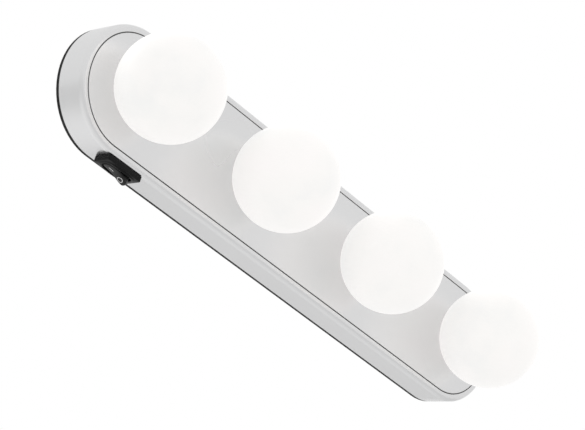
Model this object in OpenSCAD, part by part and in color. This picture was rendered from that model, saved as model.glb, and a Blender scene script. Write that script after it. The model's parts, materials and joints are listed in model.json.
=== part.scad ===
// Battery vanity light bar: a long silver body with round ends, four frosted globes,
// a black rear cover with a battery bay, and suction cups that hold it to a mirror.
// Frame: +Z up the mirror, +X along the bar, front towards -Y, mirror plane at Y = 0.
// Every sub-part is drawn on its back (x along, y up the mirror, z out of it), then stood up.

/* [Lamps] */
// Distance from one globe to the next; the outer globes sit on the end centres
lamp_pitch = 82; // [80:0.5:100]
// Outside diameter of a globe
globe_d = 50; // [42:0.5:60]
// How far a globe's ball would dip below the face, if its neck didn't cut it off
globe_sink = 1.4; // [0.8:0.1:1.6]
// Wall of a globe
globe_t = 1.4; // [1:0.1:2.5]
// Outside radius of a globe's neck, where it passes through the face
neck_r = 10.5; // [8:0.1:12]
// Wall of the neck
neck_t = 1.3; // [1:0.1:2]
// Radius of each round lamp board
board_r = 17.5; // [16:0.1:19]
// Thickness of every circuit board
board_t = 1; // [0.8:0.1:1.6]

/* [Body] */
// Outside radius of the round ends, half of the body's height
body_r = 31; // [30:0.5:38]
// Depth of the silver shell, from its face to its rear edge
body_depth = 15.4; // [15.4:0.1:20]
// Wall of the shell's side
side_t = 1.8; // [1.2:0.1:2.5]
// Thickness of the shell's face
panel_t = 1.7; // [1.5:0.1:3]
// Radius of the rounded edge between face and side
shoulder_r = 2.4; // [2:0.1:4]
// How much narrower the side is at its rear edge
side_draft = 0.25; // [0.1:0.05:0.6]
// Distance from the widest point of the side in to the groove that frames the face
groove_inset = 3.8; // [3.4:0.1:6]
// Width of that groove
groove_w = 0.5; // [0.3:0.1:1.2]
// Depth of that groove
groove_d = 0.6; // [0.3:0.1:1]

/* [Rear cover] */
// Thickness of the cover's plate, whose edge shows as a black line
cover_t = 1.7; // [1.2:0.1:2.5]
// Gap from the plate to the mirror
standoff = 9.2; // [9:0.1:14]
// Height of the lip that centres the cover in the shell
lip_h = 2.2; // [1:0.1:3]
// Thickness of that lip
lip_t = 1.2; // [1:0.1:2]
// Radius of a cover screw's shank
screw_r = 1.3; // [1:0.1:1.6]
// Radius of a screw boss in the shell
boss_r = 3; // [2.6:0.1:3.4]

/* [Battery bay] */
// Diameter of one cell
cell_d = 14.5; // [12:0.1:15]
// Length of one cell with its cap
cell_l = 50.5; // [44:0.1:52]
// Gap between the two rows of cells
row_gap = 1; // [0.6:0.1:2]
// Length of a compressed contact spring
spring_l = 6; // [5:0.1:8]
// Thickness of a contact plate
contact_t = 0.4; // [0.3:0.1:0.8]
// Wall of the bay
bay_t = 1.4; // [1:0.1:2]
// Thickness of the door
door_t = 1.6; // [1.2:0.1:2]

/* [Switch] */
// Length of the switch's bezel along the bar
bezel_l = 21.2; // [18:0.2:25]
// Width of the bezel's rim either side of the rocker
bezel_rim = 2.3; // [1.4:0.1:2.4]
// How far the bezel stands off the side wall
bezel_h = 3.5; // [2.6:0.1:3.6]
// Distance from the end centre to the middle of the switch
switch_inset = 10.5; // [10.5:0.5:14]
// Gap between the switch's housing and the back of the face
switch_gap = 0.3; // [0.3:0.1:1.5]
// Radius that the rocker sweeps about its pivot
rocker_r = 7.9; // [7:0.1:8.4]
// Width of the rocker
rocker_w = 5.6; // [4.6:0.02:6.8]
// Tilt of the rocker either side of level, in degrees
rocker_tilt = 13; // [9:0.5:14]
// Radius of the rocker's pivot pins
pivot_r = 0.9; // [0.7:0.05:1.1]

/* [Suction cups] */
// Outside radius of a cup
cup_r = 18; // [14:0.5:19]
// Radius of a cup's stem, where it passes through the rear cover
stem_r = 2.9; // [2:0.1:3.4]

/* [Clearances] */
// Gap round a piece that sits in another
fit_gap = 0.15; // [0.1:0.05:0.3]
// Radial running gap of a pin in its bore
pin_gap = 0.05; // [0.02:0.01:0.1]
// Gap between pieces that pass each other
free_gap = 0.3; // [0.2:0.05:0.6]

/* [Hidden] */
$fn = 64;
lamp_count = 4;
lamp_names = [for (i = [1 : lamp_count]) str("globe_", i)];
board_names = [for (i = [1 : lamp_count]) str("lamp_board_", i)];
cell_names = [for (i = [1 : lamp_count]) str("battery_", i)];
cup_names = [for (i = [1 : 4]) str("suction_cup_", i)];

span = (lamp_count - 1) * lamp_pitch;
lamp_x = [for (i = [0 : lamp_count - 1]) (i - (lamp_count - 1) / 2) * lamp_pitch];

// Levels above the mirror
z_rim = standoff + cover_t;
z_face = z_rim + body_depth;
z_panel = z_face - panel_t;
z_globe = z_face + globe_d / 2 - globe_sink;

// Shell
rear_r = body_r - side_draft;
groove_r = body_r - groove_inset;
lip_r = rear_r - side_t - fit_gap;
cover_r = rear_r - 0.1;

// Globe neck, its snap lip behind the face, and the lamp boards
neck_lip = 0.9;
neck_lip_h = 1.1;
neck_lip_z = z_panel - neck_lip_h - 0.2;
board_top = neck_lip_z - 0.2;
board_z = board_top - board_t;
post_r = 2;
post_y = board_r - post_r - 1;
small_screw_r = 0.9;
small_head_r = 1.8;
small_head_h = 1.1;

// Battery bay
row_y = (cell_d + row_gap) / 2;
bay_l = 2 * cell_l + spring_l + 2 * contact_t;
bay_w = 2 * (row_y + cell_d / 2 + fit_gap + 0.25);
door_z = standoff + 10.4 - panel_t - board_t - cell_d;
tongue_h = 0.65 * (standoff - door_z);
bay_rim = door_z + door_t + 0.2;
cell_z = bay_rim + 0.1 + cell_d / 2;
bay_top = cell_z + cell_d / 2 + 0.2;
bay_roof = 1;
cap_l = 1.2;
cap_r = 2.6;
plate_side = 11;
plate_tab = 3;
tab_level = z_rim + 0.65;

// Door hinge, along the bay's upper edge
hinge_y = bay_w / 2 + bay_t + 1.5;
hinge_z = bay_rim + 0.4;
hinge_r = 1.1;
hinge_pin_r = 0.8;
hinge_w = 10;
hinge_x = bay_l / 2 - 24;
ear_t = 1.6;
ear_pin = 1.2;

// Cups
cup_x = [-span / 2, -(bay_l / 2 + bay_t + cup_r + 5), bay_l / 2 + bay_t + cup_r + 5, span / 2];
cup_neck_r = 5;
cup_head_r = 4.4;
cup_head_h = 2;
cup_rim_h = 1;
cup_ring = 2.5;
cup_hollow = 1.6;

// Cover screws: two near each end, clear of the switch, and two at the middle
screw_inset = 28;
screw_at = [for (x = [-span / 2 + screw_inset, 0, span / 2 - screw_inset], side = [-1, 1])
    [x, side * (body_r - 9.8)]];
head_r = 2.6;
head_h = 1.5;
boss_bore_l = 9;

// Driver board, on posts of the rear cover over an inner cup's stem
driver_x = -lamp_pitch;
driver_l = 26;
driver_w = 20;
driver_post = [10, 7];
driver_z = z_rim + 4.6;
driver_top = driver_z + board_t;

// Switch, in its own frame: x along the bar, y outwards, z across, pivot at the origin
switch_x = -span / 2 + switch_inset;
bezel_w = rocker_w + 2 * bezel_rim;
housing_w = rocker_w + 2;
switch_z = z_panel - switch_gap - housing_w / 2;
switch_seat = body_r + 0.05;
pivot_out = switch_seat + 0.95;
bezel_top = bezel_h - 0.95;
bezel_foot = -0.95;
housing_l = 2 * rocker_r + 2.2;
housing_in = 13.4;
housing_floor = 2.2;
slot_l = 2 * (rocker_r + 0.25);
slot_w = rocker_w + 0.4;
rocker_low = -3;
rocker_valley = 3;
rocker_edge = 4.2;
pin_l = 0.9;
well_r = 1.6;
plunger_r = 0.9;
plunger_head_r = 1.5;
plunger_tip = 8;
lever_y = 8.6;
lever_l = 11;
lever_w = 3;
lever_t = 0.4;
lever_tilt = rocker_tilt * 5 / 13;
terminal_x = 4.6;
terminal_w = 2.8;
terminal_t = 0.8;
terminal_out = 5.2;

wire_d = 1.3;

// Stands a piece that was drawn on its back up against the mirror
module on_wall() {
    rotate([90, 0, 0]) children();
}

// Sweeps a half profile (x from the middle line out, y up) round a bar with round ends
module bar_sweep(length) {
    for (side = [-1, 1])
        translate([side * length / 2, 0, 0])
            rotate([0, 0, -side * 90])
                rotate_extrude(angle = 180, $fn = 128) children();
    translate([-length / 2, 0, 0])
        rotate([90, 0, 90])
            linear_extrude(length) {
                children();
                mirror([1, 0]) children();
            }
}

// A flat ring or disc profile for bar_sweep
module band(r0, r1, z0, z1) {
    translate([r0, z0]) square([r1 - r0, z1 - z0]);
}

// A box centred in x and y
module block(size, at = [0, 0, 0]) {
    translate([at[0] - size[0] / 2, at[1] - size[1] / 2, at[2]]) cube(size);
}

// A flat plate with round corners, centred in x and y
module rounded_plate(size, r) {
    linear_extrude(size[2]) {
        square([size[0] - 2 * r, size[1]], center = true);
        square([size[0], size[1] - 2 * r], center = true);
        for (sx = [-1, 1], sy = [-1, 1])
            translate([sx * (size[0] / 2 - r), sy * (size[1] / 2 - r)]) circle(r, $fn = 32);
    }
}

// A straight round wire from one point to another
module wire(from, to, d) {
    step = to - from;
    translate(from)
        rotate([0, atan2(norm([step[0], step[1]]), step[2]), atan2(step[1], step[0])])
            cylinder(h = norm(step), d = d, $fn = 24);
}

// Points on the curve that leaves p[0] towards p[1] and reaches p[3] from p[2], and its directions
function bend(p, u) =
    pow(1 - u, 3) * p[0] + 3 * u * pow(1 - u, 2) * p[1] + 3 * u * u * (1 - u) * p[2] + pow(u, 3) * p[3];
function bend_way(p, u) =
    let (way = pow(1 - u, 2) * (p[1] - p[0]) + 2 * u * (1 - u) * (p[2] - p[1]) + u * u * (p[3] - p[2]))
    way / norm(way);

// A slack wire along that curve, as a swept tube
module slack_wire(p, d, sides = 8, steps = 14) {
    points = [
        for (i = [0 : steps])
            let (
                centre = bend(p, i / steps),
                way = bend_way(p, i / steps),
                flat = cross([0, 0, 1], way),
                across = flat / norm(flat),
                rise = cross(way, across)
            )
            for (j = [0 : sides - 1])
                centre + d / 2 * (cos(360 * j / sides) * across - sin(360 * j / sides) * rise)
    ];
    tube(points, sides, steps);
}

// Skin over rings of points: rings + 1 rings, each with the given number of sides
module tube(points, sides, rings) {
    walls = [
        for (i = [0 : rings - 1], j = [0 : sides - 1])
            let (k = (j + 1) % sides)
            [i * sides + j, i * sides + k, (i + 1) * sides + k, (i + 1) * sides + j]
    ];
    first = [for (j = [0 : sides - 1]) sides - 1 - j];
    last = [for (j = [0 : sides - 1]) rings * sides + j];
    polyhedron(points, concat(walls, [first, last]));
}

// A coil spring along +z whose radius goes from r0 to r1, as a swept tube
module coil(r0, r1, length, turns, wire_d, sides = 6, steps = 14) {
    rings = turns * steps;
    wire_r = wire_d / 2;
    points = [
        for (i = [0 : rings], j = [0 : sides - 1])
            let (
                u = i / rings,
                a = 360 * turns * u,
                b = 360 * j / sides,
                r = r0 + (r1 - r0) * u + wire_r * cos(b),
                z = wire_r + (length - wire_d) * u + wire_r * sin(b)
            )
            [r * cos(a), r * sin(a), z]
    ];
    tube(points, sides, rings);
}

// Outline of the shell from the rear edge round the shoulder to the face
module shell_outline() {
    edge_r = body_r - shoulder_r;
    polygon([
        [0, z_rim], [rear_r, z_rim], [body_r, z_face - shoulder_r], [edge_r, z_face], [0, z_face]
    ]);
    translate([edge_r, z_face - shoulder_r]) circle(shoulder_r, $fn = 64);
}

// Hollow inside the shell
module shell_hollow() {
    inner_r = body_r - side_t;
    inner_round = shoulder_r - side_t;
    polygon([
        [0, z_rim - 1], [rear_r - side_t, z_rim - 1], [rear_r - side_t, z_rim],
        [inner_r, z_face - shoulder_r], [inner_r - inner_round, z_panel], [0, z_panel]
    ]);
}

module shell_profile() {
    difference() {
        shell_outline();
        shell_hollow();
        band(groove_r - groove_w / 2, groove_r + groove_w / 2, z_face - groove_d, z_face + 1);
    }
}

module front_shell() {
    color([0.80, 0.80, 0.81]) on_wall() difference() {
        union() {
            bar_sweep(span) shell_profile();
            for (p = screw_at)
                translate([p[0], p[1], z_rim]) cylinder(h = z_panel - z_rim + 0.5, r = boss_r);
            for (x = lamp_x, sy = [-1, 1])
                translate([x, sy * post_y, board_top])
                    cylinder(h = z_panel - board_top + 0.5, r = post_r);
        }
        for (p = screw_at)
            translate([p[0], p[1], z_rim - 1]) cylinder(h = boss_bore_l + 1, r = screw_r + 0.03);
        for (x = lamp_x) {
            translate([x, 0, z_panel - 1]) cylinder(h = panel_t + 2, r = neck_r + fit_gap);
            for (sy = [-1, 1])
                translate([x, sy * post_y, board_top - 1])
                    cylinder(h = 3.4, r = small_screw_r + 0.03);
        }
        translate([switch_x, -body_r, switch_z])
            cube([housing_l + 2 * fit_gap, 4 * side_t, housing_w + 2 * fit_gap], center = true);
    }
}

// The bay's walls and roof, standing through the cover's plate
module bay_box() {
    difference() {
        block([bay_l + 2 * bay_t, bay_w + 2 * bay_t, bay_top + bay_roof - bay_rim], [0, 0, bay_rim]);
        block([bay_l, bay_w, bay_top - bay_rim + 1], [0, 0, bay_rim - 1]);
        for (y = [-row_y, row_y])
            translate([-bay_l / 2 - bay_t - 1, y - plate_tab / 2 - 0.1, tab_level - contact_t / 2 - 0.1])
                cube([bay_t + 2, plate_tab + 0.2, contact_t + 0.2]);
    }
}

// One ear of the door's hinge, with its pin bore
module hinge_ear(x) {
    difference() {
        translate([x, bay_w / 2 + bay_t - 0.2, hinge_z - 1.3])
            cube([ear_t, 3, standoff - hinge_z + 1.5]);
        translate([x - 1, hinge_y, hinge_z])
            rotate([0, 90, 0]) cylinder(h = ear_t + 2, r = hinge_pin_r + pin_gap);
    }
}

ear_at = [for (side = [-1, 1], end = [-1, 1])
    side * hinge_x + end * (hinge_w / 2 + free_gap) + (end < 0 ? -ear_t : 0)];

module rear_cover() {
    color([0.07, 0.07, 0.075]) on_wall() difference() {
        union() {
            bar_sweep(span) {
                band(0, cover_r, standoff, z_rim);
                band(lip_r - lip_t, lip_r, z_rim - 0.2, z_rim + lip_h);
            }
            bay_box();
            for (x = ear_at) hinge_ear(x);
            for (sx = [-1, 1], sy = [-1, 1])
                translate([driver_x + sx * driver_post[0], sy * driver_post[1], z_rim - 0.2])
                    cylinder(h = driver_z - z_rim + 0.2, r = post_r);
        }
        block([bay_l, bay_w, bay_top - bay_rim + 1], [0, 0, bay_rim - 1]);
        for (p = screw_at)
            translate([p[0], p[1], standoff - 1]) cylinder(h = cover_t + 2, r = screw_r + 0.2);
        for (x = cup_x)
            translate([x, 0, standoff - 1]) cylinder(h = cover_t + 2, r = stem_r + 0.1);
        for (sx = [-1, 1], sy = [-1, 1])
            translate([driver_x + sx * driver_post[0], sy * driver_post[1], driver_z - 3])
                cylinder(h = 4, r = small_screw_r + 0.03);
    }
}

module battery_door() {
    color([0.07, 0.07, 0.075]) on_wall() {
        difference() {
            translate([0, 0, door_z])
                rounded_plate([bay_l + 2 * bay_t, bay_w + 2 * bay_t, door_t], 2);
            for (x = ear_at)
                translate([x - free_gap, hinge_y - 3.4, door_z - 1])
                    cube([ear_t + 2 * free_gap, 4, door_t + 2]);
            for (i = [0 : 4])
                translate([-6, -bay_w / 2 + 1 + 1.6 * i, door_z - 0.1]) cube([12, 0.8, 0.5]);
        }
        for (side = [-1, 1]) {
            x0 = side * hinge_x - hinge_w / 2;
            translate([x0, hinge_y - 3.4, door_z + 0.2]) cube([hinge_w, 3.4, door_t - 0.2]);
            translate([x0, hinge_y, hinge_z]) rotate([0, 90, 0]) cylinder(h = hinge_w, r = hinge_r);
            translate([x0 - free_gap - ear_pin, hinge_y, hinge_z])
                rotate([0, 90, 0]) cylinder(h = hinge_w + 2 * (free_gap + ear_pin), r = hinge_pin_r);
        }
        // Thumb tongue, outside the bay's lower wall
        tongue_y = -bay_w / 2 - bay_t - 0.2;
        block([9, 2.5, door_t], [0, tongue_y - 0.25, door_z]);
        block([9, 1.3, tongue_h], [0, tongue_y - 0.85, door_z]);
    }
}

// A pan-head screw pointing along +z, its head's top at z = -head height, with a cross slot
module pan_screw(shank_r, shank_l, top_r, top_h) {
    difference() {
        union() {
            cylinder(h = shank_l, r = shank_r, $fn = 32);
            translate([0, 0, -top_h]) cylinder(h = top_h, r = top_r, $fn = 48);
        }
        for (a = [0, 90])
            rotate([0, 0, a]) block([1.3 * top_r, 0.28 * top_r, top_h], [0, 0, -1.4 * top_h]);
    }
}

module cover_screws() {
    color([0.75, 0.75, 0.76]) on_wall() for (p = screw_at)
        translate([p[0], p[1], standoff]) pan_screw(screw_r, cover_t + 7.5, head_r, head_h);
}

// Globe i: a hollow ball whose neck passes through the face and snaps behind it
module globe(i) {
    ball_r = globe_d / 2;
    color([0.97, 0.96, 0.95]) on_wall() translate([lamp_x[i - 1], 0, 0]) difference() {
        union() {
            translate([0, 0, z_globe]) sphere(ball_r, $fn = 96);
            translate([0, 0, neck_lip_z]) cylinder(h = z_globe - neck_lip_z, r = neck_r);
            translate([0, 0, neck_lip_z]) cylinder(h = neck_lip_h, r = neck_r + neck_lip);
        }
        translate([0, 0, z_globe]) sphere(ball_r - globe_t, $fn = 96);
        translate([0, 0, neck_lip_z - 1]) cylinder(h = z_globe - neck_lip_z, r = neck_r - neck_t);
        for (a = [45, 135])
            rotate([0, 0, a]) block([3 * neck_r, 1.6, neck_lip_h + 1.2], [0, 0, neck_lip_z - 0.1]);
    }
}

module lamp_board(i) {
    color([0.93, 0.93, 0.90]) on_wall() translate([lamp_x[i - 1], 0, board_z]) difference() {
        cylinder(h = board_t, r = board_r);
        for (sy = [-1, 1])
            translate([0, sy * post_y, -1]) cylinder(h = board_t + 2, r = small_screw_r + 0.1);
    }
}

module lamp_chips() {
    chip = [3.5, 2.8, 0.7];
    color([0.95, 0.85, 0.35]) on_wall() for (x = lamp_x, k = [0 : 2])
        translate([x, 0, board_top]) rotate([0, 0, 120 * k]) block(chip, [4.4, 0, 0]);
}

module board_screws() {
    color([0.75, 0.75, 0.76]) on_wall() {
        for (x = lamp_x, sy = [-1, 1])
            translate([x, sy * post_y, board_z])
                pan_screw(small_screw_r, 3.1, small_head_r, small_head_h);
        for (sx = [-1, 1], sy = [-1, 1])
            translate([driver_x + sx * driver_post[0], sy * driver_post[1], driver_top])
                rotate([180, 0, 0]) pan_screw(small_screw_r, 3.5, small_head_r, small_head_h);
    }
}

// Cell i: 1 and 2 lie in the upper row with their caps to +x, 3 and 4 in the lower, caps to -x
module battery(i) {
    upper = i < 3;
    slot = (i - 1) % 2;
    start = bay_l / 2 - contact_t - spring_l - slot * cell_l;
    row = upper ? row_y : -row_y;
    color([0.35, 0.48, 0.62]) on_wall()
        translate([0, row, cell_z])
            rotate([0, 0, upper ? 0 : 180])
                translate([-start, 0, 0])
                    rotate([0, 90, 0]) {
                        cylinder(h = cell_l - cap_l, r = cell_d / 2);
                        cylinder(h = cell_l, r = cap_r, $fn = 32);
                    }
}

module battery_springs() {
    color([0.80, 0.80, 0.78]) on_wall() for (side = [-1, 1])
        translate([side * (bay_l / 2 - contact_t), -side * row_y, cell_z])
            rotate([0, -side * 90, 0]) coil(4.6, 2.6, spring_l, 4, 0.8);
}

module contact_plates() {
    color([0.80, 0.80, 0.78]) on_wall() {
        for (y = [-row_y, row_y]) {
            block([contact_t, plate_side, plate_side],
                  [-bay_l / 2 + contact_t / 2, y, cell_z - plate_side / 2]);
            block([bay_t + 3, plate_tab, contact_t],
                  [-bay_l / 2 - bay_t / 2 - 1.5 + contact_t, y, tab_level - contact_t / 2]);
        }
        block([contact_t, plate_side + 2 * row_y, plate_side],
              [bay_l / 2 - contact_t / 2, 0, cell_z - plate_side / 2]);
    }
}

module driver_board() {
    color([0.10, 0.38, 0.20]) on_wall() translate([driver_x, 0, driver_z]) difference() {
        block([driver_l, driver_w, board_t]);
        for (sx = [-1, 1], sy = [-1, 1])
            translate([sx * driver_post[0], sy * driver_post[1], -1])
                cylinder(h = board_t + 2, r = small_screw_r + 0.1);
    }
}

module driver_parts() {
    color([0.15, 0.15, 0.17]) on_wall() translate([driver_x, 0, driver_top]) {
        translate([-4.5, 0, 0]) cylinder(h = 3.6, r = 3.4);
        translate([4.2, -3.4, 0]) cylinder(h = 4.6, r = 2);
        block([5, 4, 1.4], [4.2, 2.6, 0]);
        for (y = [-8.6, 8.6]) block([3.2, 1.6, 0.6], [0, y, 0]);
    }
}

// Wires run in the gap between the boards and the shell's upper side wall
bus_red_y = body_r - side_t - 2;
bus_black_y = bus_red_y - 2;
bus_black_z = (z_rim + z_panel) / 2 - 0.4;
bus_red_z = bus_black_z + 2.2;
pad_y = board_r - 1.2;

// A feed line along the bar with a drop to each lamp board and one to the driver board
module lamp_feed(bus_y, bus_z, shift) {
    splice_x = concat([for (x = lamp_x) x + shift], [driver_x + shift]);
    wire([splice_x[0], bus_y, bus_z], [splice_x[lamp_count - 1], bus_y, bus_z], wire_d);
    for (x = lamp_x) wire([x + shift, bus_y, bus_z], [x + shift, pad_y, board_z - wire_d / 2], wire_d);
    wire([driver_x + shift, bus_y, bus_z],
         [driver_x + shift, driver_w / 2 - 1, driver_top + wire_d / 2], wire_d);
    for (x = splice_x) translate([x, bus_y, bus_z]) sphere(d = 1.3 * wire_d, $fn = 24);
}

tab_x = -bay_l / 2 - bay_t - 2;
tab_z = tab_level + 0.9;
driver_pad = driver_top + wire_d / 2;

module wire_red() {
    terminal_y = -pivot_out + housing_in + terminal_out - 1.4;
    color([0.70, 0.08, 0.07]) on_wall() {
        lamp_feed(bus_red_y, bus_red_z, 3);
        // Battery to switch
        slack_wire([[tab_x, -row_y, tab_z], [tab_x - 22, -row_y - 6, tab_z],
                    [switch_x + 24, terminal_y - 1, switch_z - 2],
                    [switch_x + terminal_x + 1.1, terminal_y, switch_z]], wire_d);
        // Switch to driver board
        slack_wire([[switch_x - 1.1, terminal_y, switch_z], [switch_x - 7, terminal_y + 6, switch_z - 1],
                    [driver_x - 22, -3, driver_pad + 1.5],
                    [driver_x - driver_l / 2 + 1.5, -2, driver_pad]], wire_d);
    }
}

module wire_black() {
    color([0.08, 0.08, 0.08]) on_wall() {
        lamp_feed(bus_black_y, bus_black_z, -3);
        // Battery to driver board
        slack_wire([[tab_x, row_y, tab_z], [tab_x - 5, row_y, tab_z],
                    [driver_x + driver_l / 2 + 4, 4, driver_pad + 1],
                    [driver_x + driver_l / 2 - 1.5, 4, driver_pad]], wire_d);
    }
}

// Places a piece of the switch: its y points out of the lower side wall, its origin is the pivot
module at_switch() {
    on_wall() translate([switch_x, -pivot_out, switch_z]) mirror([0, 1, 0]) children();
}

// A block of the switch's own frame: centred in x and z, from y0 to y1
module switch_block(length, width, y0, y1, at_x = 0) {
    translate([at_x - length / 2, y0, -width / 2]) cube([length, y1 - y0, width]);
}

// Outline of the bezel seen from the front: a low box with eased ends and a slight crown
module bezel_side() {
    half = bezel_l / 2;
    polygon([
        [-half, bezel_foot], [half, bezel_foot], [half, bezel_top - 0.9],
        [half - 0.9, bezel_top - 0.3], [3.4, bezel_top], [-3.4, bezel_top],
        [-half + 0.9, bezel_top - 0.3], [-half, bezel_top - 0.9]
    ]);
}

module switch_housing() {
    corner = 0.8;
    color([0.05, 0.05, 0.055]) at_switch() difference() {
        union() {
            intersection() {
                translate([0, 0, -bezel_w / 2]) linear_extrude(bezel_w) bezel_side();
                translate([0, bezel_foot - 1, 0])
                    rotate([-90, 0, 0]) rounded_plate([bezel_l, bezel_w, bezel_h + 3], corner);
            }
            switch_block(housing_l, housing_w, -housing_in, bezel_foot + 0.2);
        }
        switch_block(slot_l, slot_w, -housing_in + housing_floor, bezel_top + 1);
        cylinder(h = slot_w + 2 * (pin_l + 0.2), r = pivot_r + pin_gap, center = true, $fn = 32);
        for (x = [0, terminal_x])
            switch_block(terminal_t, terminal_w, -housing_in - 1, -housing_in + housing_floor + 1, x);
    }
}

// Rests with the end nearer the bar's end pressed in, which is on
module switch_rocker() {
    color([0.06, 0.06, 0.065]) at_switch() rotate([0, 0, rocker_tilt]) {
        difference() {
            translate([0, 0, -rocker_w / 2]) linear_extrude(rocker_w) intersection() {
                circle(rocker_r, $fn = 96);
                polygon([
                    [-rocker_r, rocker_low], [rocker_r, rocker_low], [rocker_r, rocker_edge],
                    [0, rocker_valley], [-rocker_r, rocker_edge]
                ]);
            }
            translate([0, rocker_low - 1, 0]) rotate([-90, 0, 0]) cylinder(h = 5, r = well_r, $fn = 32);
        }
        for (side = [-1, 1])
            translate([0, 0, side * (rocker_w / 2 + (pin_l + 0.1) / 2)])
                cylinder(h = pin_l + 0.3, r = pivot_r, center = true, $fn = 32);
    }
}

module switch_plunger() {
    head_y = plunger_tip - plunger_head_r;
    color([0.80, 0.66, 0.30]) at_switch() rotate([0, 0, rocker_tilt]) rotate([90, 0, 0]) {
        translate([0, 0, -0.8]) cylinder(h = head_y, r = plunger_r, $fn = 32);
        translate([0, 0, head_y - 1]) cylinder(h = 1, r = plunger_head_r, $fn = 32);
        translate([0, 0, head_y]) sphere(plunger_head_r, $fn = 32);
    }
}

module plunger_spring() {
    top_y = plunger_tip - plunger_head_r - 1;
    color([0.80, 0.80, 0.78]) at_switch() rotate([0, 0, rocker_tilt]) rotate([90, 0, 0])
        translate([0, 0, -0.9]) coil(1.25, 1.25, top_y + 0.9, 5, 0.3);
}

// See-saw contact strip, on the middle terminal
module contact_lever() {
    color([0.80, 0.66, 0.30]) at_switch() translate([0, -lever_y, 0]) rotate([0, 0, -lever_tilt])
        switch_block(lever_l, lever_w, -lever_t / 2, lever_t / 2);
}

module switch_terminals() {
    inside = -housing_in + housing_floor;
    color([0.80, 0.66, 0.30]) at_switch() {
        switch_block(terminal_t, terminal_w, -housing_in - terminal_out, -lever_y - lever_t / 2 - 0.15);
        switch_block(terminal_t, terminal_w, -housing_in - terminal_out, inside + 0.9, terminal_x);
    }
}

// Cup i, pressed against the mirror, its stem snapped through the rear cover
module suction_cup(i) {
    hollow_r = cup_r - cup_ring;
    ball_r = (hollow_r * hollow_r + cup_hollow * cup_hollow) / (2 * cup_hollow);
    bell_top = standoff - 2.2;
    color([0.82, 0.86, 0.88]) on_wall() translate([cup_x[i - 1], 0, 0]) difference() {
        rotate_extrude($fn = 96) polygon([
            [0, 0], [cup_r, 0], [cup_r, cup_rim_h], [cup_neck_r + 3, bell_top - 2.4],
            [cup_neck_r, bell_top], [cup_neck_r, standoff], [stem_r, standoff], [stem_r, z_rim],
            [cup_head_r, z_rim], [cup_head_r - 0.8, z_rim + cup_head_h], [0, z_rim + cup_head_h]
        ]);
        translate([0, 0, cup_hollow - ball_r]) sphere(ball_r, $fn = 128);
    }
}

front_shell();
rear_cover();
battery_door();
cover_screws();
for (i = [1 : lamp_count]) {
    globe(i);
    lamp_board(i);
    battery(i);
    suction_cup(i);
}
lamp_chips();
board_screws();
battery_springs();
contact_plates();
driver_board();
driver_parts();
wire_red();
wire_black();
switch_housing();
switch_rocker();
switch_plunger();
plunger_spring();
contact_lever();
switch_terminals();
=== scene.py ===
"""Looks of the battery vanity light bar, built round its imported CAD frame.

Places come from the frame. Most pieces are drawn lying on their backs, in (x, up, out)
coordinates where out is the distance in front of the mirror plane, and then stood up.
"""

import json
import math

import bmesh
import bpy
from mathutils import Matrix, Vector
from mathutils.geometry import delaunay_2d_cdt

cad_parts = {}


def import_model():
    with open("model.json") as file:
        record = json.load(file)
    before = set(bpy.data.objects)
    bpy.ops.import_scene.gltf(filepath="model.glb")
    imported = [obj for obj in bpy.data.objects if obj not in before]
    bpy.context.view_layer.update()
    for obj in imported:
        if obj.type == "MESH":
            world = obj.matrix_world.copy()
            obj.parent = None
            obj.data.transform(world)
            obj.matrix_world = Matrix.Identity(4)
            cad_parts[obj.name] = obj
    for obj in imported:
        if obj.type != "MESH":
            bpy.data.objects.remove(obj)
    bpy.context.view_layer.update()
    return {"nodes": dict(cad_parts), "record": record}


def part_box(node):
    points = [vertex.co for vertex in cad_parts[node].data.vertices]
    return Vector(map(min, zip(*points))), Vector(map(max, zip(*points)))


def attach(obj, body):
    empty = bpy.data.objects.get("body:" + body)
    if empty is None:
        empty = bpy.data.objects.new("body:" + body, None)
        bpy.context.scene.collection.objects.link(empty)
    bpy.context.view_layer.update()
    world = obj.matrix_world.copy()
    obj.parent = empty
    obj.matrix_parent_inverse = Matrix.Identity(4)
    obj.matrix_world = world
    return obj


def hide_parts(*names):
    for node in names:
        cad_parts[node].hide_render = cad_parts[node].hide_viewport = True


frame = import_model()

MM = 0.001
STAND_UP = Matrix.Rotation(math.radians(90), 4, "X")
NODES = frame["nodes"]
BODY_OF = {node: body for body, nodes in frame["record"]["behaviour"]["bodies"].items() for node in nodes}
SLOT_OF = {part["node"]: part["material_slot"] for part in frame["record"]["subparts"]}
JOINTS = {joint["name"]: joint for joint in frame["record"]["behaviour"]["joints"]}


def extent(node):
    """Lowest and highest (x, up, out) of a CAD node."""
    lo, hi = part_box(node)
    return Vector((lo.x, lo.z, -hi.y)), Vector((hi.x, hi.z, -lo.y))


# ---------------------------------------------------------------- sizes from the frame

SHELL_LO, SHELL_HI = extent("front_shell")
BODY_R = SHELL_HI.y
SPAN = 2 * (SHELL_HI.x - BODY_R)
FACE = SHELL_HI.z
RIM = SHELL_LO.z
COVER_T = 1.7 * MM
PLATE_BACK = RIM - COVER_T

SIDE_T = 1.8 * MM
PANEL_T = 1.7 * MM
SHOULDER_R = 2.4 * MM
SIDE_DRAFT = 0.25 * MM
GROOVE_R = BODY_R - 3.8 * MM
GROOVE_W = 0.5 * MM
GROOVE_D = 0.6 * MM

GLOBES = [f"globe_{i}" for i in range(1, 5)]
GLOBE_R = (extent("globe_1")[1].y - extent("globe_1")[0].y) / 2
GLOBE_OUT = extent("globe_1")[1].z - GLOBE_R
NECK_R = 10.5 * MM
NECK_GAP = 0.15 * MM
GLOBE_T = 1.4 * MM
GLOBE_X = [(extent(node)[0].x + extent(node)[1].x) / 2 for node in GLOBES]

PIVOT = Vector(JOINTS["rocker_tilt"]["pos_m"])
REST_TILT = math.radians(JOINTS["rocker_tilt"]["range_deg"][1]) / 2


# ---------------------------------------------------------------- procedural materials

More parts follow.
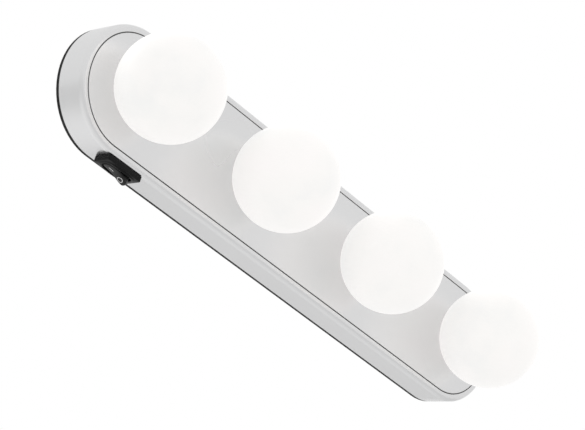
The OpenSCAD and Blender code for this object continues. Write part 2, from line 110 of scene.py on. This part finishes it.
NOISE_LOW, NOISE_HIGH = 0.3, 0.7  # the band that most noise values fall in


class Look:
    """One procedural material. The methods add nodes and give back output sockets."""

    def __init__(self, name, **shader):
        self.material = bpy.data.materials.new(name)
        self.material.use_nodes = True
        self.tree = self.material.node_tree
        self.shader = self.tree.nodes["Principled BSDF"]
        self.place = self.tree.nodes.new("ShaderNodeTexCoord").outputs["Object"]
        for socket, value in shader.items():
            self.shader.inputs[socket.replace("_", " ")].default_value = value

    def link(self, source, target):
        self.tree.links.new(source, target)

    def scaled(self, scale):
        """Object coordinates times scale."""
        mapping = self.tree.nodes.new("ShaderNodeMapping")
        mapping.inputs["Scale"].default_value = (scale, scale, scale)
        self.link(self.place, mapping.inputs["Vector"])
        return mapping.outputs["Vector"]

    def noise(self, scale, detail=3.0):
        """Cloudy noise; scale is in features a metre."""
        noise = self.tree.nodes.new("ShaderNodeTexNoise")
        noise.inputs["Scale"].default_value = 1.0
        noise.inputs["Detail"].default_value = detail
        noise.inputs["Roughness"].default_value = 0.5
        self.link(self.scaled(scale), noise.inputs["Vector"])
        return noise.outputs["Fac"]

    def cells(self, scale):
        cells = self.tree.nodes.new("ShaderNodeTexVoronoi")
        cells.inputs["Scale"].default_value = scale
        self.link(self.place, cells.inputs["Vector"])
        return cells.outputs["Distance"]

    def span(self, source, low, high):
        """A value from source, spread from low to high."""
        spread = self.tree.nodes.new("ShaderNodeMapRange")
        for socket, value in zip(("From Min", "From Max", "To Min", "To Max"),
                                 (NOISE_LOW, NOISE_HIGH, low, high)):
            spread.inputs[socket].default_value = value
        self.link(source, spread.inputs["Value"])
        return spread.outputs["Result"]

    def ramp(self, source, stops):
        ramp = self.tree.nodes.new("ShaderNodeValToRGB")
        elements = ramp.color_ramp.elements
        while len(elements) < len(stops):
            elements.new(0.5)
        for element, (position, colour) in zip(elements, stops):
            element.position = position
            element.color = (*colour, 1.0)
        self.link(source, ramp.inputs["Fac"])
        return ramp.outputs["Color"]

    def colour(self, source, dark, light):
        self.link(self.ramp(source, [(NOISE_LOW, dark), (NOISE_HIGH, light)]),
                  self.shader.inputs["Base Color"])

    def roughness(self, source, low, high):
        self.link(self.span(source, low, high), self.shader.inputs["Roughness"])

    def bump(self, source, height):
        """Relief of that height in metres."""
        bump = self.tree.nodes.new("ShaderNodeBump")
        bump.inputs["Strength"].default_value = 1.0
        bump.inputs["Distance"].default_value = height
        self.link(source, bump.inputs["Height"])
        earlier = self.shader.inputs["Normal"].links
        if earlier:
            self.link(earlier[0].from_socket, bump.inputs["Normal"])
        self.link(bump.outputs["Normal"], self.shader.inputs["Normal"])


def shade(grey, tint=(1.0, 1.0, 1.0)):
    """That grey as a colour, with a slight tint."""
    return tuple(grey * part for part in tint)


def satin_silver_look():
    """Satin chrome plating: soft reflections, faint moulding ripple and hairline wear."""
    look = Look("satin_silver", Metallic=1.0)
    cloud = look.noise(16, detail=1)
    look.colour(cloud, shade(0.785, (1.0, 1.0, 1.004)), shade(0.805, (1.0, 1.0, 1.004)))
    look.roughness(look.noise(20, detail=1), 0.27, 0.30)
    look.bump(look.noise(6000, detail=1), 0.0000004)
    return look.material


def groove_painted_shade_look():
    """The groove's floor: dull plating in a dark grey that is painted shade, standing in for the shadow deep
    in the groove.
    """
    look = Look("groove_shadow", Metallic=0.6)
    # dark grey of painted shade for the groove's shadow, its tone varying at random
    look.colour(look.noise(700, detail=4), shade(0.10), shade(0.17))
    look.roughness(look.noise(400), 0.5, 0.7)
    return look.material


def frosted_globe_look():
    """Lit frosted plastic: mostly its own light, a satin skin and faint clouding."""
    look = Look("frosted_globe", Roughness=0.42, Emission_Strength=0.61)
    look.shader.inputs["Specular IOR Level"].default_value = 0.2
    cloud = look.noise(45, detail=4)
    look.colour(cloud, (0.36, 0.355, 0.35), (0.40, 0.395, 0.385))
    glow = look.ramp(cloud, [(NOISE_LOW, (0.965, 0.965, 0.955)), (0.5, (1.0, 0.985, 0.97)),
                             (NOISE_HIGH, (1.0, 0.97, 0.965))])
    look.link(glow, look.shader.inputs["Emission Color"])
    look.bump(look.noise(1800, detail=2), 0.000004)
    return look.material


def black_cover_look():
    """Black moulding with a fine spark-eroded grain."""
    look = Look("black_cover")
    look.shader.inputs["Specular IOR Level"].default_value = 0.2
    look.colour(look.noise(120, detail=5), shade(0.009), shade(0.015))
    look.roughness(look.noise(900, detail=3), 0.48, 0.62)
    look.bump(look.cells(2600), 0.00003)
    return look.material


def nylon_look(name, low, high, specular):
    """Semi-gloss black nylon with flow marks and a light grain."""
    look = Look(name)
    look.shader.inputs["Specular IOR Level"].default_value = specular
    look.colour(look.noise(350, detail=4), shade(low), shade(high))
    look.roughness(look.noise(700, detail=3), 0.26, 0.38)
    look.bump(look.noise(5000, detail=2), 0.000004)
    return look.material


def mark_look():
    """White paint of the switch's marks."""
    look = Look("mark_white")
    look.colour(look.noise(4000, detail=3), shade(0.66), shade(0.80))
    look.roughness(look.noise(3000), 0.4, 0.55)
    return look.material


def metal_look(name, dark, light, rough):
    """Small metal parts; rough is the least and greatest roughness."""
    look = Look(name, Metallic=1.0)
    look.colour(look.noise(300, detail=4), dark, light)
    look.roughness(look.noise(800, detail=4), rough[0], rough[1])
    look.bump(look.noise(2500, detail=2), 0.000004)
    return look.material


def plastic_look(name, dark, light, rough, scale=400, relief=0.000005):
    """Plastic, lacquer or board, with that relief in metres."""
    look = Look(name)
    look.colour(look.noise(scale, detail=4), dark, light)
    look.roughness(look.noise(2 * scale, detail=3), rough[0], rough[1])
    look.bump(look.noise(4 * scale, detail=2), relief)
    return look.material


def clear_vinyl_look():
    """Clear soft vinyl: a glassy skin with a little haze and ripple."""
    look = Look("clear_vinyl", IOR=1.5)
    look.shader.inputs["Transmission Weight"].default_value = 0.85
    look.colour(look.noise(150, detail=3), (0.80, 0.86, 0.88), (0.88, 0.93, 0.94))
    look.roughness(look.noise(250, detail=3), 0.10, 0.22)
    look.bump(look.noise(220, detail=2), 0.00004)
    return look.material


LOOKS = {
    "satin_silver": satin_silver_look(),
    "groove_shadow": groove_painted_shade_look(),
    "frosted_globe": frosted_globe_look(),
    "black_cover": black_cover_look(),
    "switch_black": nylon_look("switch_black", 0.002, 0.004, 0.16),
    "rocker_black": nylon_look("rocker_black", 0.006, 0.011, 0.26),
    "mark_white": mark_look(),
    "plated_steel": metal_look("plated_steel", shade(0.60), shade(0.72), (0.22, 0.34)),
    "spring_wire": metal_look("spring_wire", shade(0.62), shade(0.74), (0.2, 0.32)),
    "contact_brass": metal_look("contact_brass", (0.62, 0.44, 0.18), (0.74, 0.56, 0.26), (0.2, 0.35)),
    "white_board": plastic_look("white_board", (0.74, 0.74, 0.71), (0.82, 0.82, 0.79), (0.3, 0.42)),
    "led_phosphor": plastic_look("led_phosphor", (0.80, 0.62, 0.12), (0.90, 0.74, 0.22), (0.4, 0.5)),
    "battery_sleeve": plastic_look("battery_sleeve", (0.05, 0.11, 0.18), (0.055, 0.12, 0.195), (0.24, 0.30),
                                   scale=60, relief=0.000001),
    "green_board": plastic_look("green_board", (0.01, 0.085, 0.03), (0.02, 0.13, 0.05), (0.3, 0.4)),
    "component_black": plastic_look("component_black", shade(0.015), shade(0.03), (0.4, 0.55)),
    "wire_red": plastic_look("wire_red", (0.42, 0.012, 0.01), (0.52, 0.02, 0.016), (0.38, 0.5)),
    "wire_black": plastic_look("wire_black", shade(0.012), shade(0.02), (0.38, 0.5)),
    "clear_vinyl": clear_vinyl_look(),
}


# ---------------------------------------------------------------- mesh helpers

def add_object(name, mesh, looks, sharp_deg=32.0):
    """A new object with smooth faces, sharp where they meet at more than sharp_deg."""
    obj = bpy.data.objects.new(name, mesh)
    bpy.context.scene.collection.objects.link(obj)
    for look in looks:
        mesh.materials.append(LOOKS[look])
    mesh.shade_smooth()
    mesh.set_sharp_from_angle(angle=math.radians(sharp_deg))
    return obj


def from_bmesh(name, bm, looks, sharp_deg=32.0):
    """A new object from a mesh in the making, with doubled points joined."""
    bmesh.ops.remove_doubles(bm, verts=bm.verts, dist=1e-6)
    bmesh.ops.recalc_face_normals(bm, faces=bm.faces)
    mesh = bpy.data.meshes.new(name)
    bm.to_mesh(mesh)
    bm.free()
    return add_object(name, mesh, looks, sharp_deg)


def weight_normals(obj):
    """Keeps big flat faces flat-looking beside their rounded edges."""
    modifier = obj.modifiers.new("even_normals", "WEIGHTED_NORMAL")
    modifier.keep_sharp = True


def bevel(obj, width, segments):
    """Rounds the sharp edges."""
    modifier = obj.modifiers.new("soft_edges", "BEVEL")
    modifier.width = width
    modifier.segments = segments
    modifier.limit_method = "ANGLE"
    modifier.angle_limit = math.radians(30)
    weight_normals(obj)


def finish_piece(obj, node):
    """The piece stands for its CAD node, which is hidden, and rides on its body."""
    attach(obj, BODY_OF[node])
    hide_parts(node)


def arc(centre, radius, start_deg, end_deg, steps):
    """Points on an arc in a (radius, out) profile."""
    angles = [math.radians(start_deg + (end_deg - start_deg) * i / steps) for i in range(steps + 1)]
    return [(centre[0] + radius * math.cos(a), centre[1] + radius * math.sin(a)) for a in angles]


def lathe(bm, profile, segments, matrix, closed=False):
    """Turns (radius, height) points about local z. A point on the axis becomes one vertex."""
    rings = []
    for radius, height in profile:
        if radius < 1e-7:
            rings.append([bm.verts.new(matrix @ Vector((0, 0, height)))])
            continue
        angles = [2 * math.pi * k / segments for k in range(segments)]
        rings.append([bm.verts.new(matrix @ Vector((radius * math.cos(a), radius * math.sin(a), height)))
                      for a in angles])
    pairs = list(zip(rings, rings[1:])) + ([(rings[-1], rings[0])] if closed else [])
    for low, high in pairs:
        for k in range(segments):
            n = (k + 1) % segments
            corners = [low[k % len(low)], low[n % len(low)], high[n % len(high)], high[k % len(high)]]
            unique = list(dict.fromkeys(corners))
            if len(unique) > 2:
                bm.faces.new(unique)


def at_wall(x, out=0.0):
    """Matrix that puts a piece drawn along local +z on the bar's centre line, pointing outward."""
    return Matrix.Translation((x, -out, 0.0)) @ STAND_UP


def bar_stations():
    """Spine points and outward directions round the bar, as (x, angle)."""
    arc_steps, straight_steps = 48, 24
    stations = [(SPAN / 2, math.radians(-90 + 180 * k / arc_steps)) for k in range(arc_steps + 1)]
    stations += [(SPAN / 2 - SPAN * k / straight_steps, math.radians(90)) for k in range(1, straight_steps)]
    stations += [(-SPAN / 2, math.radians(90 + 180 * k / arc_steps)) for k in range(arc_steps + 1)]
    stations += [(-SPAN / 2 + SPAN * k / straight_steps, math.radians(-90)) for k in range(1, straight_steps)]
    return stations


def bar_ring(bm, radius, out, stations):
    return [bm.verts.new((x + radius * math.cos(a), -out, radius * math.sin(a))) for x, a in stations]


def bridge(bm, low, high, look=0):
    """Faces between two closed rings with as many points."""
    for k in range(len(low)):
        n = (k + 1) % len(low)
        face = bm.faces.new((low[k], low[n], high[n], high[k]))
        face.material_index = look


def flat_with_holes(bm, out, outer, holes):
    """A flat face at that distance out, inside one loop of (x, up) and outside round holes."""
    points, edges = [], []
    for loop in [outer] + [circle_points(*hole) for hole in holes]:
        start = len(points)
        points += [Vector(p) for p in loop]
        edges += [(start + k, start + (k + 1) % len(loop)) for k in range(len(loop))]
    spots, _, triangles, *_ = delaunay_2d_cdt(points, edges, [], 1, 1e-7)
    verts = [bm.verts.new((p.x, -out, p.y)) for p in spots]
    for triangle in triangles:
        middle = sum((spots[i] for i in triangle), Vector((0, 0))) / 3
        if all((middle - Vector((x, up))).length > radius * 0.999 for x, up, radius in holes):
            bm.faces.new([verts[i] for i in triangle])


def circle_points(x, up, radius):
    segments = 64
    return [(x + radius * math.cos(2 * math.pi * k / segments),
             up + radius * math.sin(2 * math.pi * k / segments)) for k in range(segments)]


# ---------------------------------------------------------------- body

def shell_profile():
    """Outside of the shell, from the rear edge round the shoulder to the groove's outer lip."""
    edge = 0.25 * MM
    shoulder = (BODY_R - SHOULDER_R, FACE - SHOULDER_R)
    rear_r = BODY_R - SIDE_DRAFT
    lip = GROOVE_R + GROOVE_W / 2
    return (
        arc((rear_r - edge, RIM + edge), edge, -90, -1, 4)
        + [(rear_r + SIDE_DRAFT * t, RIM + edge + (shoulder[1] - RIM - edge) * t) for t in (0.25, 0.5, 0.75)]
        + arc(shoulder, SHOULDER_R, 0, 90, 16)
        + arc((lip + edge, FACE - edge), edge, 90, 180, 4)
    )


def front_shell():
    """Hollow shell: rings round the bar, and a flat face and panel with a hole for each globe."""
    bm = bmesh.new()
    stations = bar_stations()
    floor_out, wall_in = FACE - GROOVE_D, GROOVE_R - GROOVE_W / 2
    edge = 0.15 * MM
    outer = [bar_ring(bm, r, out, stations) for r, out in shell_profile()]
    groove_out = bar_ring(bm, GROOVE_R + GROOVE_W / 2, floor_out, stations)
    groove_in = bar_ring(bm, wall_in, floor_out, stations)
    inner_lip = [bar_ring(bm, r, out, stations)
                 for r, out in arc((wall_in - edge, FACE - edge), edge, 0, 90, 4)]
    panel = FACE - PANEL_T
    inner_corner = bar_ring(bm, BODY_R - SHOULDER_R, panel, stations)
    inner_side = bar_ring(bm, BODY_R - SIDE_T, FACE - SHOULDER_R, stations)
    inner_rear = bar_ring(bm, BODY_R - SIDE_DRAFT - SIDE_T, RIM, stations)
    for low, high in zip(outer, outer[1:]):
        bridge(bm, low, high)
    bridge(bm, outer[-1], groove_out)
    # the groove's floor takes the painted shade of groove_shadow
    bridge(bm, groove_out, groove_in, look=1)
    bridge(bm, groove_in, inner_lip[0])
    for low, high in zip(inner_lip, inner_lip[1:]):
        bridge(bm, low, high)
    for low, high in ((inner_corner, inner_side), (inner_side, inner_rear), (inner_rear, outer[0])):
        bridge(bm, low, high)
    holes = [(x, 0.0, NECK_R + NECK_GAP) for x in GLOBE_X]
    flat_with_holes(bm, FACE, [(v.co.x, v.co.z) for v in inner_lip[-1]], holes)
    flat_with_holes(bm, panel, [(v.co.x, v.co.z) for v in inner_corner], holes)
    for hole in holes:
        rim = circle_points(*hole)
        front = [bm.verts.new((x, -FACE, up)) for x, up in rim]
        back = [bm.verts.new((x, -panel, up)) for x, up in rim]
        bridge(bm, front, back)
    shell = from_bmesh("shell_skin", bm, ["satin_silver", "groove_shadow"])
    weight_normals(shell)
    finish_piece(shell, "front_shell")


def globes():
    """Frosted globes: a ball on a short neck that goes through the face."""
    rise = GLOBE_OUT - FACE
    meet = math.degrees(math.acos(NECK_R / GLOBE_R))
    lo, _ = extent("globe_1")
    inner_r = GLOBE_R - GLOBE_T
    inner_neck = NECK_R - GLOBE_T
    inner_meet = math.degrees(math.acos(inner_neck / inner_r))
    blend = 0.5 * MM
    neck_end = -rise - (FACE - lo.z)
    neck_top = -GLOBE_R * math.sin(math.radians(meet)) - blend
    outside = [(NECK_R, neck_end), (NECK_R, -rise), (NECK_R, neck_top)]
    outside += arc((0, 0), GLOBE_R, -meet + 1.5, 90, 56)[:-1] + [(0, GLOBE_R)]
    inside = [(0, inner_r)] + arc((0, 0), inner_r, 90, -inner_meet, 40)[1:] + [(inner_neck, neck_end)]
    for x, node in zip(GLOBE_X, GLOBES):
        bm = bmesh.new()
        lathe(bm, outside + inside, 96, at_wall(x, out=GLOBE_OUT), closed=True)
        globe = from_bmesh(f"{node}_diffuser", bm, ["frosted_globe"], sharp_deg=60)
        finish_piece(globe, node)


# ---------------------------------------------------------------- switch

def superellipse(half_l, half_w, power):
    """Points round an oval that squares up as power grows."""
    count = 96
    points = []
    for k in range(count):
        a = 2 * math.pi * (k + 0.5) / count
        c, s = math.cos(a), math.sin(a)
        points.append((half_l * math.copysign(abs(c) ** (2 / power), c),
                       half_w * math.copysign(abs(s) ** (2 / power), s)))
    return points


def switch_matrix(tilt=0.0):
    """From the switch's own frame (x along the bar, y out of the side wall, z to the back)."""
    frame_axes = Matrix(((1, 0, 0, 0), (0, 0, 1, 0), (0, -1, 0, 0), (0, 0, 0, 1)))
    return Matrix.Translation(PIVOT) @ frame_axes @ Matrix.Rotation(tilt, 4, "Z")


def switch_bezel():
    """Box-shaped bezel with a raised oval rim round the rocker's well."""
    lo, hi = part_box("switch_housing")
    half_l, half_w = (hi.x - lo.x) / 2, (hi.y - lo.y) / 2
    top = PIVOT.z - lo.z
    foot = -0.95 * MM
    shelf = top - 0.75 * MM
    well_l, well_w = 8.15 * MM, 3.45 * MM
    bm = bmesh.new()

    def ring(size_l, size_w, power, height):
        points = superellipse(size_l, size_w, power)
        return [bm.verts.new((x, height(x), z)) for x, z in points]

    def level(height):
        return lambda x: height

    def crest(drop):
        return lambda x: top - 0.35 * MM * (x / well_l) ** 2 - drop

    rings = [
        ring(half_l, half_w, 22, level(foot)),
        ring(half_l, half_w, 22, level(shelf - 0.3 * MM)),
        ring(half_l - 0.1 * MM, half_w - 0.1 * MM, 20, level(shelf - 0.08 * MM)),
        ring(half_l - 0.35 * MM, half_w - 0.35 * MM, 18, level(shelf)),
        ring(half_l - 0.9 * MM, half_w - 0.7 * MM, 5, level(shelf)),
        ring(half_l - 1.1 * MM, half_w - 0.85 * MM, 3.4, crest(0.12 * MM)),
        ring(half_l - 1.35 * MM, half_w - 1.0 * MM, 3.0, crest(0.0)),
        ring(well_l + 0.3 * MM, well_w + 0.4 * MM, 2.6, crest(0.0)),
        ring(well_l + 0.08 * MM, well_w + 0.15 * MM, 2.6, crest(0.2 * MM)),
        ring(well_l, well_w, 2.8, crest(0.9 * MM)),
        ring(well_l, well_w, 3.0, level(-4.0 * MM)),
    ]
    for low, high in zip(rings, rings[1:]):
        bridge(bm, low, high)
    bm.faces.new(rings[-1])
    bm.faces.new(rings[0])
    bm.transform(switch_matrix())
    bezel = from_bmesh("switch_bezel", bm, ["switch_black"], sharp_deg=40)
    finish_piece(bezel, "switch_housing")


ROCKER_L, ROCKER_W = 7.35 * MM, 2.55 * MM
ROCKER_VALLEY, ROCKER_EDGE = 2.9 * MM, 4.15 * MM
ROCKER_CROWN = 0.25 * MM


def rocker_height(x, z):
    """Height of the rocker's dished top above its pivot."""
    dish = (ROCKER_EDGE - ROCKER_VALLEY) * (abs(x) / ROCKER_L) ** 1.5
    return ROCKER_VALLEY + dish - ROCKER_CROWN * (z / ROCKER_W) ** 2


def rocker():
    """Dished rocker: a fan and rings out to a rounded edge, then straight sides."""
    power, round_off = 3.2, 0.7 * MM
    foot, foot_share = -2.6 * MM, 0.97
    bm = bmesh.new()
    rings = []
    for share in (0.15, 0.3, 0.45, 0.6, 0.75, 0.88):
        rings.append([bm.verts.new((share * x, rocker_height(share * x, share * z), share * z))
                      for x, z in superellipse(ROCKER_L, ROCKER_W, power)])
    for step in range(1, 7):
        a = math.radians(15 * step)
        inset = round_off * (1 - math.sin(a))
        drop = round_off * (1 - math.cos(a))
        rings.append([bm.verts.new((x, rocker_height(x, z) - drop, z))
                      for x, z in superellipse(ROCKER_L - inset, ROCKER_W - inset, power)])
    rings.append([bm.verts.new((x * foot_share, foot, z))
                  for x, z in superellipse(ROCKER_L, ROCKER_W, power)])
    for low, high in zip(rings, rings[1:]):
        bridge(bm, low, high)
    bm.faces.new(rings[-1])
    centre = bm.verts.new((0, rocker_height(0, 0), 0))
    first = rings[0]
    for k in range(len(first)):
        bm.faces.new((centre, first[k], first[(k + 1) % len(first)]))
    bm.transform(switch_matrix(REST_TILT))
    body = from_bmesh("rocker_cap", bm, ["rocker_black"], sharp_deg=50)
    finish_piece(body, "switch_rocker")


def mark_strip(name, inner, outer, closed):
    """A painted mark that follows the rocker's top, between two rows of (x, z) points."""
    lift, thick = 0.03 * MM, 0.05 * MM
    bm = bmesh.new()
    rows = []
    for row, height in ((inner, lift), (outer, lift), (outer, lift - thick), (inner, lift - thick)):
        rows.append([bm.verts.new((x, rocker_height(x, z) + height, z)) for x, z in row])
    for low, high in zip(rows, rows[1:] + rows[:1]):
        for k in range(len(low) - (0 if closed else 1)):
            n = (k + 1) % len(low)
            bm.faces.new((low[k], low[n], high[n], high[k]))
    if not closed:
        for end in (0, -1):
            bm.faces.new([row[end] for row in rows])
    bm.transform(switch_matrix(REST_TILT))
    mark = from_bmesh(name, bm, ["mark_white"])
    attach(mark, "rocker")


def rocker_marks():
    """I on the end that is pressed in at rest, O on the raised end."""
    ring_x, ring_r, line = 3.9 * MM, 1.35 * MM, 0.32 * MM
    bar_x, bar_l = -2.8 * MM, 3.0 * MM
    ring_steps, bar_steps = 48, 12

    def circle(radius):
        angles = [2 * math.pi * k / ring_steps for k in range(ring_steps)]
        return [(ring_x + radius * math.cos(a), radius * math.sin(a)) for a in angles]

    mark_strip("mark_o", circle(ring_r - line / 2), circle(ring_r + line / 2), closed=True)
    along = [bar_x - bar_l / 2 + bar_l * k / bar_steps for k in range(bar_steps + 1)]
    mark_strip("mark_i", [(x, -line / 2) for x in along], [(x, line / 2) for x in along], closed=False)


# ---------------------------------------------------------------- back

def refined(node, width, segments=3):
    """A copy of a CAD node with its facets merged and its edges softened."""
    mesh = NODES[node].data.copy()
    mesh.materials.clear()
    bm = bmesh.new()
    bm.from_mesh(mesh)
    bmesh.ops.remove_doubles(bm, verts=bm.verts, dist=2e-6)
    bmesh.ops.dissolve_limit(bm, angle_limit=math.radians(1.0), verts=bm.verts, edges=bm.edges)
    bm.to_mesh(mesh)
    bm.free()
    obj = add_object(f"{node}_moulding", mesh, [SLOT_OF[node]])
    bevel(obj, width, segments)
    finish_piece(obj, node)


def batteries():
    """Cells with a plain sleeve shrunk over both ends of a steel can, and a raised cap."""
    for number in range(1, 5):
        node = f"battery_{number}"
        lo, hi = extent(node)
        radius, length = (hi.y - lo.y) / 2, hi.x - lo.x
        cap_h, cap_r, curl = 1.2 * MM, 2.6 * MM, 0.5 * MM
        can = length - cap_h
        flipped = number > 2
        axis = Matrix.Rotation(math.radians(-90 if flipped else 90), 4, "Y")
        start = Vector((hi.x if flipped else lo.x, -(lo.z + hi.z) / 2, (lo.y + hi.y) / 2))
        steel = ([(0, 0.2 * MM), (radius - 2.2 * MM, 0.2 * MM), (radius - 2.0 * MM, 0.0),
                  (radius - 1.2 * MM, 0.0), (radius - 1.0 * MM, 0.25 * MM)]
                 + [(radius - 0.3 * MM, 0.5 * MM), (radius - 0.3 * MM, can - 0.5 * MM)]
                 + [(radius - 1.6 * MM, can - 0.2 * MM), (radius - 2.0 * MM, can - 0.5 * MM),
                    (cap_r + 0.4 * MM, can - 0.5 * MM), (cap_r, can - 0.2 * MM)]
                 + arc((cap_r - 0.4 * MM, length - 0.4 * MM), 0.4 * MM, 0, 90, 4) + [(0, length)])
        sleeve = ([(radius - 1.0 * MM, 0.05 * MM)] + arc((radius - curl, curl), curl, -90, 0, 5)
                  + arc((radius - curl, can - curl), curl, 0, 90, 5) + [(radius - 1.3 * MM, can - 0.05 * MM)]
                  + [(radius - 1.3 * MM, can - 0.2 * MM), (radius - 0.2 * MM, can - 0.7 * MM),
                     (radius - 0.2 * MM, 0.7 * MM), (radius - 1.0 * MM, 0.2 * MM)])
        bm = bmesh.new()
        place = Matrix.Translation(start) @ axis
        lathe(bm, steel, 48, place)
        for face in bm.faces:
            face.material_index = 1
        lathe(bm, sleeve, 48, place, closed=True)
        cell = from_bmesh(f"{node}_cell", bm, ["battery_sleeve", "plated_steel"])
        finish_piece(cell, node)


def suction_cups():
    """Clear cups with a hollow face, a flared bell and a stem with a barbed head."""
    for node in [f"suction_cup_{i}" for i in range(1, 5)]:
        lo, hi = extent(node)
        x, cup_r = (lo.x + hi.x) / 2, (hi.x - lo.x) / 2
        head_top = hi.z
        rim, neck, stem, head = 1.0 * MM, 4.6 * MM, 2.85 * MM, 4.3 * MM
        bell = PLATE_BACK - 2.2 * MM
        hollow, ring = 1.5 * MM, 2.5 * MM
        steps = 14
        flare = [(neck + (cup_r - 0.4 * MM - neck) * (1 - t) ** 1.7, rim + (bell - rim) * t ** 0.9)
                 for t in [k / steps for k in range(steps + 1)]]
        profile = (
            [(0, hollow)]
            + [((cup_r - ring) * k / 8, hollow * (1 - (k / 8) ** 2)) for k in range(1, 9)]
            + [(cup_r - 0.5 * MM, 0.0), (cup_r, 0.35 * MM), (cup_r, rim - 0.15 * MM)]
            + flare
            + [(neck, PLATE_BACK - 0.1 * MM), (stem, PLATE_BACK), (stem, RIM + 0.05 * MM)]
            + [(head, RIM + 0.1 * MM), (head, RIM + 0.6 * MM), (head - 0.5 * MM, head_top - 0.4 * MM),
               (head - 1.2 * MM, head_top), (0, head_top)]
        )
        bm = bmesh.new()
        lathe(bm, profile, 72, at_wall(x))
        cup = from_bmesh(f"{node}_vinyl", bm, ["clear_vinyl"], sharp_deg=45)
        finish_piece(cup, node)


def dress_cad_nodes():
    """CAD nodes that keep their own shape get their slot's procedural material."""
    for node, obj in NODES.items():
        for place in obj.material_slots:
            place.material = LOOKS[SLOT_OF[node]]


# ---------------------------------------------------------------- stage, light and camera

def plane(name, corners, material):
    mesh = bpy.data.meshes.new(name)
    mesh.from_pydata(corners, [], [range(4)])
    mesh.materials.append(material)
    obj = bpy.data.objects.new(name, mesh)
    bpy.context.scene.collection.objects.link(obj)


def stage():
    floor_look = Look("stage_floor", Roughness=0.9)
    floor_look.colour(floor_look.noise(3), shade(0.80), shade(0.83))
    far, low = 14.0, -1.5
    corners = [(-far, -far, low), (far, -far, low), (far, far, low), (-far, far, low)]
    plane("floor", corners, floor_look.material)


def world():
    """A studio sweep: pale grey low down, white above; a little darker where it lights the object."""
    scene_world = bpy.data.worlds.new("studio")
    scene_world.use_nodes = True
    tree = scene_world.node_tree
    seen = tree.nodes["Background"]
    room = tree.nodes.new("ShaderNodeBackground")
    place = tree.nodes.new("ShaderNodeTexCoord")
    split = tree.nodes.new("ShaderNodeSeparateXYZ")
    tree.links.new(place.outputs["Generated"], split.inputs["Vector"])

    def sweep(background, low, high, low_grey, high_grey):
        """Grey by height: low and high are heights of the direction, from -1 to 1."""
        height = tree.nodes.new("ShaderNodeMapRange")
        height.inputs["From Min"].default_value = low
        height.inputs["From Max"].default_value = high
        ramp = tree.nodes.new("ShaderNodeValToRGB")
        ramp.color_ramp.elements[0].color = (*shade(low_grey), 1)
        ramp.color_ramp.elements[1].color = (*shade(high_grey), 1)
        tree.links.new(split.outputs["Z"], height.inputs["Value"])
        tree.links.new(height.outputs["Result"], ramp.inputs["Fac"])
        tree.links.new(ramp.outputs["Color"], background.inputs["Color"])

    sweep(seen, -0.05, 0.24, 0.72, 1.0)
    sweep(room, -1.0, 1.0, 0.80, 0.88)
    rays = tree.nodes.new("ShaderNodeLightPath")
    mix = tree.nodes.new("ShaderNodeMixShader")
    tree.links.new(rays.outputs["Is Camera Ray"], mix.inputs["Fac"])
    tree.links.new(room.outputs["Background"], mix.inputs[1])
    tree.links.new(seen.outputs["Background"], mix.inputs[2])
    tree.links.new(mix.outputs["Shader"], tree.nodes["World Output"].inputs["Surface"])
    bpy.context.scene.world = scene_world


def softbox(name, place, size, power):
    """A soft area light, aimed at the middle of the bar. It shows in no reflection."""
    light = bpy.data.lights.new(name, "AREA")
    light.shape = "RECTANGLE"
    light.size, light.size_y = size
    light.energy = power
    lamp = bpy.data.objects.new(name, light)
    lamp.location = place
    lamp.rotation_euler = (-Vector(place)).to_track_quat("-Z", "Y").to_euler()
    lamp.visible_glossy = False
    bpy.context.scene.collection.objects.link(lamp)


def lights():
    softbox("key", (0.3, -2.0, 0.9), (0.9, 0.9), 3)
    softbox("fill", (-1.6, -1.2, 0.4), (1.4, 1.4), 2)
    softbox("back", (-0.8, 1.8, 1.0), (1.0, 1.0), 30)


CAMERA_AIM = Vector((-0.0087, -FACE, 0.0005))
CAMERA_DISTANCE = 1.1725
CAMERA_AZIMUTH = -43.0
CAMERA_ELEVATION = -23.18
CAMERA_ROLL = -17.6
CAMERA_LENS = 152.65


def camera():
    """The photographed view: from the front left and below, through a long lens, tilted."""
    azimuth, elevation = math.radians(CAMERA_AZIMUTH), math.radians(CAMERA_ELEVATION)
    back = Vector((math.sin(azimuth) * math.cos(elevation), -math.cos(azimuth) * math.cos(elevation),
                   math.sin(elevation)))
    data = bpy.data.cameras.new("camera")
    data.lens, data.sensor_width = CAMERA_LENS, 36.0
    data.clip_start, data.clip_end = 0.01, 50.0
    eye = bpy.data.objects.new("camera", data)
    level = back.to_track_quat("Z", "Y").to_matrix().to_4x4()
    eye.matrix_world = (Matrix.Translation(CAMERA_AIM + CAMERA_DISTANCE * back) @ level
                        @ Matrix.Rotation(math.radians(-CAMERA_ROLL), 4, "Z"))
    bpy.context.scene.collection.objects.link(eye)
    bpy.context.scene.camera = eye


# ---------------------------------------------------------------- build

bpy.context.scene.view_settings.view_transform = "Standard"
camera()
world()
lights()
stage()
dress_cad_nodes()
front_shell()
globes()
switch_bezel()
rocker()
rocker_marks()
refined("rear_cover", 0.12 * MM)
refined("battery_door", 0.25 * MM)
refined("cover_screws", 0.15 * MM, segments=2)
suction_cups()
batteries()
